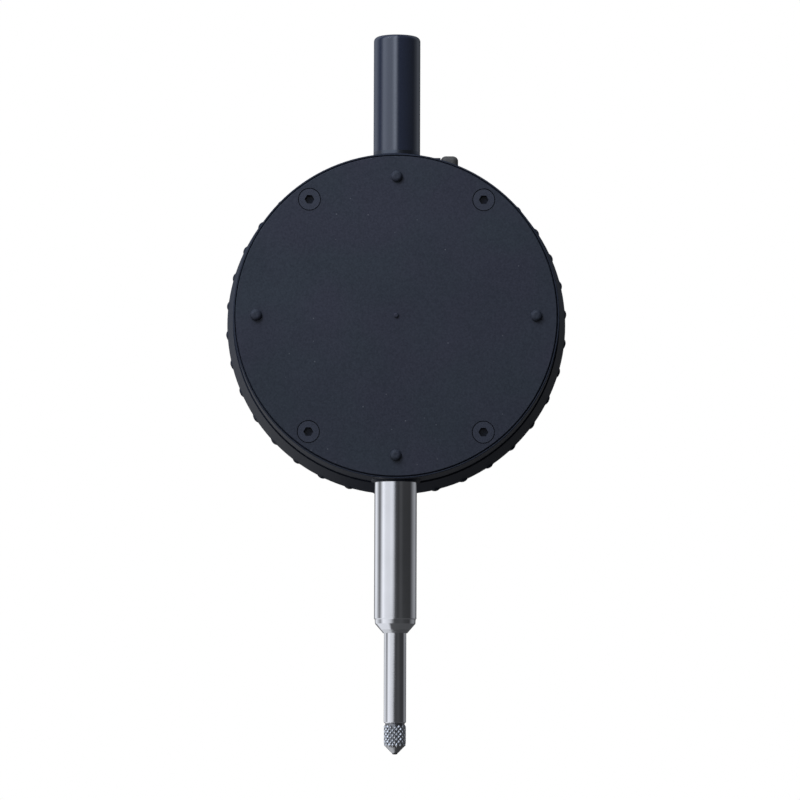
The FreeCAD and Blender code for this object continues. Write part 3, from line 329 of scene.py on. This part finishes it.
FINISHES = {
    "case_black": plastic(
        "case black", (0.008, 0.011, 0.019), (0.015, 0.019, 0.032), 0.50, Specular_IOR_Level=0.25),
    "cover_black": plastic(
        "cover black", (0.0128, 0.0155, 0.0245), (0.0246, 0.0284, 0.0412), 0.55, dust=0.5,
        Specular_IOR_Level=0.3),
    "bezel_black": plastic(
        "bezel black", (0.006, 0.009, 0.016), (0.012, 0.015, 0.026), 0.45, Specular_IOR_Level=0.12),
    "cap_black": plastic(
        "cap black",
        (0.009, 0.012, 0.024),
        (0.012, 0.016, 0.030),
        0.13,
        relief=0.002 * MM,
        Specular_IOR_Level=0.9,
    ),
    "face_black": plastic("face black", (0.014, 0.015, 0.019), (0.022, 0.024, 0.029), 0.50),
    "insert_black": plastic("insert black", (0.014, 0.014, 0.015), (0.022, 0.022, 0.024), 0.50),
    "lid_black": plastic("lid black", (0.015, 0.016, 0.020), (0.024, 0.026, 0.031), 0.46),
    "scale_board": plastic("scale board", (0.10, 0.13, 0.07), (0.14, 0.18, 0.10), 0.30),
    "washer_black": metal("washer black", (0.10, 0.11, 0.13), 0.35, lines=0.1),
    "screw_black": screw_black(),
    "polished_steel": metal("polished steel", (0.78, 0.79, 0.82), 0.07, lines=0.03, smudge=0.015),
    "point_steel": knurled_steel(),
    "carbide": metal("hard tip", (0.16, 0.16, 0.17), 0.24, lines=0.05),
    "bright_screw": metal("bright screw", (0.68, 0.68, 0.70), 0.28, lines=0.1, axis="Y"),
    "bush_bronze": metal("bush bronze", (0.55, 0.38, 0.20), 0.30, lines=0.1),
    "bush_steel": metal("bush steel", (0.66, 0.67, 0.69), 0.20, lines=0.1),
    "spring_steel": metal("spring steel", (0.58, 0.58, 0.60), 0.28, lines=0.1),
    "aluminium_block": metal("aluminium block", (0.72, 0.73, 0.75), 0.33, lines=0.15),
    "cell_steel": metal("cell steel", (0.74, 0.74, 0.72), 0.22, lines=0.05, axis="Y"),
    "contact_gold": metal("contact gold", (0.85, 0.62, 0.25), 0.25, lines=0.05, axis="Y"),
    "seal_rubber": rubber("seal rubber", (0.012, 0.012, 0.013), (0.024, 0.024, 0.025)),
    "plug_grey": rubber("plug grey", (0.040, 0.040, 0.039), (0.058, 0.058, 0.057), 0.5),
    "strip_rubber": rubber("strip rubber", (0.40, 0.28, 0.30), (0.62, 0.50, 0.52)),
    "button_grey": rubber("button grey", (0.10, 0.11, 0.125), (0.15, 0.16, 0.18), 0.48),
    "board_green": board("board green", (0.010, 0.075, 0.028), (0.020, 0.12, 0.048)),
    "window_clear": glass(),
    "lcd_grey": display(),
    "figure_black": plastic("figure black", (0.010, 0.011, 0.012), (0.016, 0.017, 0.018), 0.5),
    "print_white": plastic("print white", (0.60, 0.61, 0.62), (0.72, 0.73, 0.74), 0.5),
}

for part in frame["record"]["subparts"]:
    mesh = frame["nodes"][part["node"]].data
    mesh.materials.clear()
    mesh.materials.append(FINISHES[part["material_slot"]])


# Modelling helpers

def deselect():
    """Nothing selected, in object mode."""
    if bpy.context.object and bpy.context.object.mode != "OBJECT":
        bpy.ops.object.mode_set(mode="OBJECT")
    bpy.ops.object.select_all(action="DESELECT")


def activate(piece):
    """Only this piece selected and active."""
    deselect()
    piece.select_set(True)
    bpy.context.view_layer.objects.active = piece


def settle(piece):
    """Put the piece's place and size into its mesh."""
    activate(piece)
    bpy.ops.object.transform_apply(location=True, rotation=True, scale=True)
    return piece


def named(name, finish):
    """Name the primitive just added, settle it and give it its material."""
    piece = settle(bpy.context.object)
    piece.name = name
    piece.data.name = name
    piece.data.materials.clear()
    piece.data.materials.append(FINISHES[finish])
    return piece


def pick(piece, kind, wanted):
    """In edit mode, select the VERT, EDGE or FACE elements whose corners' places pass a test."""
    activate(piece)
    bpy.ops.object.mode_set(mode="EDIT")
    bpy.ops.mesh.select_mode(type=kind)
    bpy.ops.mesh.select_all(action="DESELECT")
    bpy.ops.object.mode_set(mode="OBJECT")
    corners = piece.data.vertices
    groups = {"VERT": corners, "EDGE": piece.data.edges, "FACE": piece.data.polygons}
    for element in groups[kind]:
        ends = [element.index] if kind == "VERT" else element.vertices
        element.select = wanted([corners[end].co for end in ends])
    bpy.ops.object.mode_set(mode="EDIT")


def join(pieces):
    """Join pieces into the first."""
    deselect()
    for piece in pieces:
        piece.select_set(True)
    bpy.context.view_layer.objects.active = pieces[0]
    bpy.ops.object.join()
    return pieces[0]


def copied(piece, place, turn=0.0):
    """A copy with its own mesh, turned about Y and moved."""
    twin = piece.copy()
    twin.data = piece.data.copy()
    bpy.context.scene.collection.objects.link(twin)
    twin.rotation_euler = (0.0, turn, 0.0)
    twin.location = place
    return settle(twin)


def modify(piece, kind, **settings):
    """Add a modifier and apply it."""
    activate(piece)
    modifier = piece.modifiers.new(kind.lower(), kind)
    for name, value in settings.items():
        setattr(modifier, name, value)
    bpy.ops.object.modifier_apply(modifier=modifier.name)


def attach(piece, body, slot, *nodes):
    """Say what a piece rides on and which nodes it stands for; its slot is not used."""
    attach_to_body(piece, body)
    if nodes:
        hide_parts(*nodes)


# Contact point, knurled all round

KNURL_ROUND = 15
KNURL_ROWS = 4
KNURL_DEPTH = 0.2 * MM
KNURL_FLANK = 0.19 * MM
KNURL_EDGE = 0.02 * MM
NECK_LENGTH = 0.3 * MM
NECK_R = 1.85 * MM
CONE_LENGTH = 1.5 * MM
CONE_END_R = 0.625 * MM
TIP_HOLE_R = 0.56 * MM
STUD_R = 1.25 * MM


def ring_step(rise, shrink):
    """Extrude the selected ring along the spindle and scale it about the axis."""
    bpy.ops.mesh.extrude_region_move(TRANSFORM_OT_translate={"value": (0.0, 0.0, rise)})
    bpy.ops.transform.resize(value=(shrink, shrink, 1.0), center_override=(0.0, 0.0, 0.0))


def contact_point():
    """Stud, neck, a barrel of raised diamonds that run onto the cone, and the tip's hole."""
    low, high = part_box("contact_point")
    crest_r = high[0]
    valley_r = crest_r - KNURL_DEPTH
    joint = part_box("spindle")[0][2]
    barrel_high = joint - NECK_LENGTH
    barrel_low = low[2] + CONE_LENGTH
    row = (barrel_high - barrel_low) / (2 * KNURL_ROWS)
    lattice_low = barrel_low - row
    length = barrel_high - lattice_low
    deselect()
    bpy.ops.mesh.primitive_cylinder_add(
        vertices=2 * KNURL_ROUND,
        radius=valley_r,
        depth=length,
        end_fill_type="NOTHING",
        location=(0.0, 0.0, (lattice_low + barrel_high) / 2),
    )
    point = named("knurled_point", "point_steel")
    pick(point, "EDGE", lambda ends: abs(ends[0].z - ends[1].z) > length / 2)
    bpy.ops.mesh.subdivide(number_cuts=2 * KNURL_ROWS)
    column = math.pi / KNURL_ROUND
    near = row / 4
    cone_r = crest_r - row * (crest_r - CONE_END_R) / CONE_LENGTH
    pick(point, "VERT", lambda places: places[0].z < lattice_low + near)
    bpy.ops.transform.resize(
        value=(cone_r / valley_r, cone_r / valley_r, 1.0), center_override=(0.0, 0.0, 0.0))

    def is_peak(places):
        """Whether a corner is the middle of a diamond, in every second place of each row."""
        across = round(math.atan2(places[0].x, places[0].y) / column)
        level = round((places[0].z - lattice_low) / row)
        return 0 < level <= 2 * KNURL_ROWS and (across + level) % 2 == 0

    pick(point, "VERT", is_peak)
    grow = crest_r / valley_r
    bpy.ops.transform.resize(value=(grow, grow, 1.0), center_override=(0.0, 0.0, 0.0))
    bpy.ops.mesh.select_all(action="SELECT")
    bpy.ops.mesh.quads_convert_to_tris(quad_method="SHORTEST_DIAGONAL")
    pick(point, "VERT", is_peak)
    bpy.ops.mesh.dissolve_verts()
    pick(point, "FACE", lambda places: len(places) == 4)
    bpy.ops.mesh.inset(thickness=KNURL_FLANK, depth=KNURL_DEPTH, use_individual=True)
    pick(point, "EDGE", lambda ends: all(end.z > barrel_high - near for end in ends))
    ring_step(0.0, NECK_R / valley_r)
    ring_step(NECK_LENGTH, 1.0)
    ring_step(0.0, STUD_R / NECK_R)
    ring_step(high[2] - joint, 1.0)
    bpy.ops.mesh.edge_face_add()
    pick(point, "EDGE", lambda ends: all(end.z < lattice_low + near for end in ends))
    ring_step(row - CONE_LENGTH, CONE_END_R / cone_r)
    ring_step(0.0, TIP_HOLE_R / CONE_END_R)
    ring_step(CONE_LENGTH / 2, 1.0)
    bpy.ops.mesh.edge_face_add()
    bpy.ops.mesh.select_all(action="SELECT")
    bpy.ops.mesh.normals_make_consistent(inside=False)
    modify(point, "BEVEL", width=KNURL_EDGE, segments=2, limit_method="ANGLE")
    attach(point, "spindle", "point_steel", "contact_point")


contact_point()


# Return spring: it rides on the case and keeps its length as the spindle rises

SPRING_WIRE_R = 0.225 * MM
SPRING_TURNS = 11
WIRE_SIDES = 10
STEPS_PER_TURN = 28


def coil_spring():
    """Round wire wound round the spindle, between its carrier and the upper bush."""
    low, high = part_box("return_spring")
    rise = high[2] - low[2] - 2 * SPRING_WIRE_R
    deselect()
    bpy.ops.mesh.primitive_circle_add(
        vertices=WIRE_SIDES,
        radius=SPRING_WIRE_R,
        location=(high[0] - SPRING_WIRE_R, 0.0, low[2] + SPRING_WIRE_R),
        rotation=(math.pi / 2, 0.0, 0.0),
    )
    spring = named("coil_spring", "spring_steel")
    modify(
        spring,
        "SCREW",
        axis="Z",
        screw_offset=rise / SPRING_TURNS,
        iterations=SPRING_TURNS,
        steps=STEPS_PER_TURN,
        render_steps=STEPS_PER_TURN,
    )
    pick(spring, "EDGE", lambda ends: True)
    bpy.ops.mesh.remove_doubles(threshold=SPRING_WIRE_R / 20)
    bpy.ops.mesh.select_all(action="DESELECT")
    bpy.ops.mesh.select_non_manifold()
    bpy.ops.mesh.fill_holes(sides=0)
    bpy.ops.mesh.select_all(action="SELECT")
    bpy.ops.mesh.normals_make_consistent(inside=False)
    activate(spring)
    bpy.ops.object.shade_smooth_by_angle(angle=math.radians(50))
    attach(spring, "case", "spring_steel", "return_spring")
    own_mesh(spring)


coil_spring()


# Display figures, and plain marks on the face

DIGIT_WIDE = 5.2 * MM
DIGIT_HIGH = 9.4 * MM
DIGIT_PITCH = 7.6 * MM
SEGMENT_WIDE = 0.95 * MM
SEGMENT_GAP = 0.12 * MM
PRINT_THICK = 0.02 * MM
MARK_HIGH = 1.7 * MM
UNIT_HIGH = 1.8 * MM
CAPITAL_SHARE = 0.72
SHOWN = "0.00"
LIT = {"0": "top upper_left upper_right lower_left lower_right bottom"}


def segment(length):
    """One bar of a figure, pointed at both ends, lying along X."""
    deselect()
    bpy.ops.mesh.primitive_plane_add(size=1.0, rotation=(math.pi / 2, 0.0, 0.0))
    bpy.context.object.scale = (length - SEGMENT_WIDE, SEGMENT_WIDE, 1.0)
    bar = named("bar", "figure_black")
    pick(bar, "EDGE", lambda ends: abs(ends[0].x - ends[1].x) < SEGMENT_GAP)
    bpy.ops.mesh.subdivide(number_cuts=1)
    pick(bar, "VERT", lambda places: abs(places[0].z) < SEGMENT_GAP)
    stretch = length / (length - SEGMENT_WIDE)
    bpy.ops.transform.resize(value=(stretch, 1.0, 1.0), center_override=(0.0, 0.0, 0.0))
    bpy.ops.mesh.select_all(action="SELECT")
    bpy.ops.mesh.extrude_region_move(TRANSFORM_OT_translate={"value": (0.0, -PRINT_THICK, 0.0)})
    return bar


def raised_text(words, name, finish, high, place):
    """Thin raised lettering that faces -Y, centred on a place."""
    deselect()
    bpy.ops.object.text_add(rotation=(math.pi / 2, 0.0, 0.0), location=place)
    lettering = bpy.context.object
    lettering.data.body = words
    lettering.data.size = high / CAPITAL_SHARE
    lettering.data.align_x = "CENTER"
    lettering.data.align_y = "CENTER"
    lettering.data.extrude = PRINT_THICK / 2
    bpy.ops.object.convert(target="MESH")
    words_piece = named(name, finish)
    pick(words_piece, "EDGE", lambda ends: True)
    bpy.ops.mesh.remove_doubles(threshold=PRINT_THICK / 10)
    bpy.ops.mesh.normals_make_consistent(inside=False)
    deselect()
    return words_piece


def display_figures():
    """The figures 0.00 on the display glass, with the unit beside them."""
    low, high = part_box("lcd_window")
    glass_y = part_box("lcd_panel")[0][1]
    middle = (low[2] + high[2]) / 2
    flat = segment(DIGIT_WIDE - 2 * SEGMENT_GAP)
    tall = segment(DIGIT_HIGH / 2 - 2 * SEGMENT_GAP)
    side = DIGIT_WIDE / 2
    quarter = DIGIT_HIGH / 4
    places = {
        "top": (flat, 0.0, 2 * quarter, 0.0),
        "bottom": (flat, 0.0, -2 * quarter, 0.0),
        "upper_left": (tall, -side, quarter, math.pi / 2),
        "upper_right": (tall, side, quarter, math.pi / 2),
        "lower_left": (tall, -side, -quarter, math.pi / 2),
        "lower_right": (tall, side, -quarter, math.pi / 2),
    }
    bars = []
    across = high[0] - 2.2 * DIGIT_PITCH
    for sign in reversed(SHOWN):
        if sign == ".":
            dot = (across + DIGIT_PITCH / 2, glass_y, middle - 2 * quarter)
            deselect()
            bpy.ops.mesh.primitive_cylinder_add(
                vertices=20,
                radius=SEGMENT_WIDE * 0.6,
                depth=PRINT_THICK,
                location=dot,
                rotation=(math.pi / 2, 0.0, 0.0),
            )
            point = named("point", "figure_black")
            modify(point, "BEVEL", width=PRINT_THICK / 4, segments=1, limit_method="ANGLE")
            bars.append(point)
            continue
        for label in LIT[sign].split():
            bar, beside, rise, turn = places[label]
            bars.append(copied(bar, (across + beside, glass_y, middle + rise), turn))
        across -= DIGIT_PITCH
    deselect()
    flat.select_set(True)
    tall.select_set(True)
    bpy.ops.object.delete()
    figures = join(bars)
    figures.name = "display_figures"
    attach(figures, "display_head", "lcd_grey")
    unit_place = (high[0] - DIGIT_PITCH * 0.75, glass_y, middle - 1.6 * quarter)
    unit = raised_text("mm", "display_unit", "figure_black", UNIT_HIGH, unit_place)
    attach(unit, "display_head", "lcd_grey")


def face_marks():
    """Plain marks printed under the three buttons."""
    face_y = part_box("face_plate")[0][1]
    for node, words in (("button_left", "ON/OFF"), ("button_middle", "0"), ("button_right", "mm")):
        low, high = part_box(node)
        place = ((low[0] + high[0]) / 2, face_y, low[2] - 0.7 * MARK_HIGH)
        mark = raised_text(words, node + "_mark", "print_white", MARK_HIGH, place)
        attach(mark, "display_head", "face_black")


display_figures()
face_marks()


# Stage: camera and light

CAMERA_BACK = 0.830
CAMERA_UP = -0.0385
AIM_UP = 0.02845
AIM_X = -0.00076
LENS = 198.4
ROLL = 0.19

camera_data = bpy.data.cameras.new("camera")
camera = bpy.data.objects.new("camera", camera_data)
bpy.context.scene.collection.objects.link(camera)
camera_data.sensor_width = 36.0
camera_data.lens = LENS
camera.location = (AIM_X, CAMERA_BACK, CAMERA_UP)
aim = Vector((AIM_X, 0.0, AIM_UP)) - camera.location
roll = Quaternion((0.0, 0.0, 1.0), math.radians(ROLL))
camera.rotation_euler = (aim.to_track_quat("-Z", "Y") @ roll).to_euler()
camera_data.clip_start = 0.05
camera_data.clip_end = 20.0
bpy.context.scene.camera = camera


def softbox(name, place, towards, width, height, power, colour=(1.0, 1.0, 1.0)):
    """A rectangular soft light that faces a point and leaves no spot on glossy edges."""
    light = bpy.data.lights.new(name, "AREA")
    light.shape = "RECTANGLE"
    light.size = width
    light.size_y = height
    light.energy = power
    light.color = colour
    lamp = bpy.data.objects.new(name, light)
    bpy.context.scene.collection.objects.link(lamp)
    lamp.location = place
    lamp.rotation_euler = (Vector(towards) - Vector(place)).to_track_quat("-Z", "Z").to_euler()
    lamp.visible_glossy = False


MIDDLE = (0.0, 0.0, 0.04)
KEY_PLACE = (0.12, 0.14, 0.20)
KEY_SIZE = 0.08
KEY_POWER = 0.50
KEY_COLOUR = (0.97, 0.98, 1.0)
TOP_PLACE = (0.2, 0.3, 1.1)
TOP_SIZE = 0.8
TOP_POWER = 4.0

softbox("key", KEY_PLACE, MIDDLE, KEY_SIZE, KEY_SIZE, KEY_POWER, KEY_COLOUR)
softbox("top", TOP_PLACE, MIDDLE, TOP_SIZE, TOP_SIZE, TOP_POWER)

# Brightness of the room round the object, by the angle in degrees from the camera's side
# towards +X, which is on the camera's left: on the ground, level with the point, level with
# the stem, and high at the cap
GROUND = (
    (-180, 0.08),
    (68, 0.10),
    (86, 0.90),
    (146, 0.95),
    (158, 0.30),
    (170, 0.05),
    (180, 0.05),
)
ROOM_LOW = (
    (-180, 0.12),
    (-160, 0.08),
    (-126, 0.28),
    (-112, 0.24),
    (-99, 0.14),
    (-88, 0.045),
    (-57, 0.055),
    (-35, 0.078),
    (-14, 0.068),
    (5, 0.075),
    (14, 0.26),
    (22, 0.57),
    (30, 0.74),
    (40, 0.86),
    (52, 0.95),
    (72, 1.12),
    (82, 0.80),
    (92, 0.40),
    (99, 0.42),
    (110, 0.62),
    (125, 0.85),
    (139, 0.98),
    (150, 0.65),
    (160, 0.15),
    (180, 0.06),
)
ROOM = (
    (-180, 0.10),
    (-160, 0.05),
    (-140, 0.28),
    (-126, 0.38),
    (-108, 0.24),
    (-96, 0.10),
    (-86, 0.040),
    (-44, 0.044),
    (-29, 0.078),
    (-14, 0.045),
    (-1, 0.080),
    (6, 0.38),
    (14, 0.85),
    (22, 0.97),
    (35, 0.89),
    (52, 0.90),
    (60, 1.00),
    (69, 1.20),
    (78, 0.90),
    (87, 0.40),
    (95, 0.16),
    (103, 0.30),
    (112, 0.58),
    (124, 1.00),
    (133, 1.05),
    (145, 0.70),
    (156, 0.17),
    (180, 0.06),
)
ROOM_HIGH = (
    (-180, 0.15),
    (-160, 0.09),
    (-140, 0.22),
    (-126, 0.38),
    (-99, 0.20),
    (-88, 0.10),
    (-12, 0.10),
    (-6, 0.20),
    (0, 0.95),
    (6, 1.95),
    (13, 2.00),
    (20, 1.30),
    (27, 1.02),
    (44, 1.00),
    (60, 1.28),
    (70, 1.30),
    (80, 0.50),
    (90, 0.10),
    (99, 0.22),
    (112, 0.50),
    (126, 0.58),
    (150, 0.30),
    (180, 0.15),
)
LIGHT_TINT = (0.96, 0.98, 1.03)
HIGH_TINT = (0.95, 1.05, 1.24)


def studio():
    """White backdrop for the camera, and a soft room for the light: bright left, dark right."""
    world = bpy.data.worlds.new("studio")
    bpy.context.scene.world = world
    world.use_nodes = True
    room = Recipe(world.node_tree)
    world.node_tree.nodes.clear()
    way = room.node("ShaderNodeTexCoord", output=0)
    parts = room.node("ShaderNodeSeparateXYZ", {}, {0: way})
    across, towards, up = (Wire(room, part) for part in parts.socket.node.outputs)
    turn = room.node("ShaderNodeMath", {"operation": "ARCTAN2"}, {0: across, 1: towards})
    round_room = turn / (2 * math.pi) + 0.5
    ground, low, level, high = (
        room.tint(
            room.ramp(round_room, [(angle / 360 + 0.5, light) for angle, light in lights]),
            tint,
        )
        for lights, tint in (
            (GROUND, LIGHT_TINT),
            (ROOM_LOW, LIGHT_TINT),
            (ROOM, LIGHT_TINT),
            (ROOM_HIGH, HIGH_TINT),
        )
    )
    near_point = room.ramp(up + 1.0, [(0.55, 0.0), (0.80, 1.0)])
    near_stem = room.ramp(up, [(0.018, 0.0), (0.034, 1.0)])
    near_cap = room.ramp(up, [(0.07, 0.0), (0.13, 1.0)])
    walls = room.blend(near_point, ground, low)
    walls = room.blend(near_stem, walls, level)
    walls = room.blend(near_cap, walls, high)
    soft = room.node("ShaderNodeBackground", {}, {"Color": walls, "Strength": 1.0})
    white = room.node("ShaderNodeBackground", {}, {"Color": (1.0, 1.0, 1.0), "Strength": 1.0})
    seen = room.node("ShaderNodeLightPath", output=0)
    both = room.node("ShaderNodeMixShader", {}, {0: seen, 1: soft, 2: white})
    room.node("ShaderNodeOutputWorld", {}, {0: both})


studio()
bpy.context.scene.view_settings.view_transform = "Standard"
